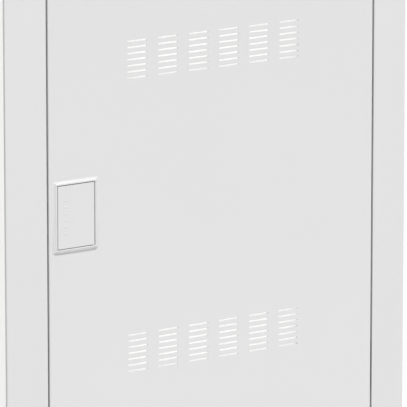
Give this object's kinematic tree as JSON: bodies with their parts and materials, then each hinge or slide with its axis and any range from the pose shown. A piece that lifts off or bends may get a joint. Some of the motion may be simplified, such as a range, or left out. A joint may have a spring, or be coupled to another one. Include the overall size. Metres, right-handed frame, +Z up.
{
  "type": "flush wall battery box",
  "caption": "Recessed steel battery cabinet with a trim frame, a vented hinged door with a paddle latch, and two battery blocks with switch and leads inside.",
  "frame": {"origin": "middle of the outer face of the recess box's back wall", "axes": "-Y is the way the door faces, +X to the right of a person facing the door, +Z up"},
  "size_m": [0.4768, 0.152, 0.7008],
  "materials": {
    "light_grey_paint": "fine orange-peel powder coat, satin",
    "inside_paint": "powder coat, satin",
    "white_plastic": "fine moulded grain",
    "filter_mat": "non-woven fibre",
    "grey_plastic": "moulded",
    "switch_plastic": "moulded, satin",
    "black_plastic": "moulded",
    "blue_plastic": "moulded",
    "red_plastic": "moulded",
    "green_plastic": "moulded",
    "battery_case": "moulded, lightly grained",
    "battery_lid": "moulded, satin",
    "zinc_steel": "bright zinc plate",
    "brass": "turned",
    "tinned_copper": "tin plate on copper",
    "rubber": "matt",
    "black_lead": "smooth cable jacket",
    "red_lead": "smooth cable jacket"
  },
  "bodies": {
    "enclosure": {"battery_shelf": "inside_paint", "battery_switch": "switch_plastic", "battery_tray": "inside_paint", "cable_gland": "grey_plastic", "door_buffer_lower": "rubber", "door_buffer_upper": "rubber", "earth_terminal": "green_plastic", "enclosure_shell": "inside_paint", "frame_screw_1": "zinc_steel", "frame_screw_2": "zinc_steel", "frame_screw_3": "zinc_steel", "frame_screw_4": "zinc_steel", "gland_locknut": "grey_plastic", "link_lead": "black_lead", "link_lug_lower": "tinned_copper", "link_lug_upper": "tinned_copper", "lower_battery_case": "battery_case", "lower_battery_lid": "battery_lid", "lower_battery_strap": "zinc_steel", "lower_hinge_arm": "zinc_steel", "lower_terminal_negative": "brass", "lower_terminal_positive": "brass", "mounting_rail": "zinc_steel", "negative_lead": "black_lead", "negative_lug": "tinned_copper", "outgoing_terminal_negative": "blue_plastic", "outgoing_terminal_positive": "red_plastic", "output_lead_negative": "black_lead", "output_lead_positive": "red_lead", "positive_lead": "red_lead", "positive_lug": "tinned_copper", "rail_standoff_left": "zinc_steel", "rail_standoff_right": "zinc_steel", "strike_plate": "zinc_steel", "upper_battery_case": "battery_case", "upper_battery_lid": "battery_lid", "upper_battery_strap": "zinc_steel", "upper_hinge_arm": "zinc_steel", "upper_terminal_negative": "brass", "upper_terminal_positive": "brass", "wall_frame": "light_grey_paint"},
    "door": {"door_leaf": "light_grey_paint", "door_stiffener_left": "inside_paint", "door_stiffener_right": "inside_paint", "upper_filter_mat": "filter_mat", "upper_filter_frame": "grey_plastic", "lower_filter_mat": "filter_mat", "lower_filter_frame": "grey_plastic", "upper_hinge_plate": "zinc_steel", "lower_hinge_plate": "zinc_steel", "upper_hinge_pin": "zinc_steel", "lower_hinge_pin": "zinc_steel", "latch_bezel": "white_plastic", "latch_retainer": "grey_plastic", "paddle_pin": "zinc_steel"},
    "latch": {"latch_paddle": "white_plastic", "latch_hook": "zinc_steel", "paddle_spring": "zinc_steel"},
    "toggle": {"switch_toggle": "black_plastic"}
  },
  "joints": [
    {"name": "door_hinge", "type": "hinge", "parent": "enclosure", "child": "door", "pos_m": [0.1831, -0.145, 0], "axis": [0, 0, 1], "range_deg": [0, 110]},
    {"name": "latch_pivot", "type": "hinge", "parent": "door", "child": "latch", "pos_m": [-0.1771, -0.1491, 0], "axis": [0, 0, -1], "range_deg": [0, 35], "stiffness_Nm_per_rad": 0.04, "springref_deg": -20.05},
    {"name": "switch_toggle_pivot", "type": "hinge", "parent": "enclosure", "child": "toggle", "pos_m": [-0.018, -0.11, 0.235], "axis": [1, 0, 0], "range_deg": [0, 44]}
  ]
}
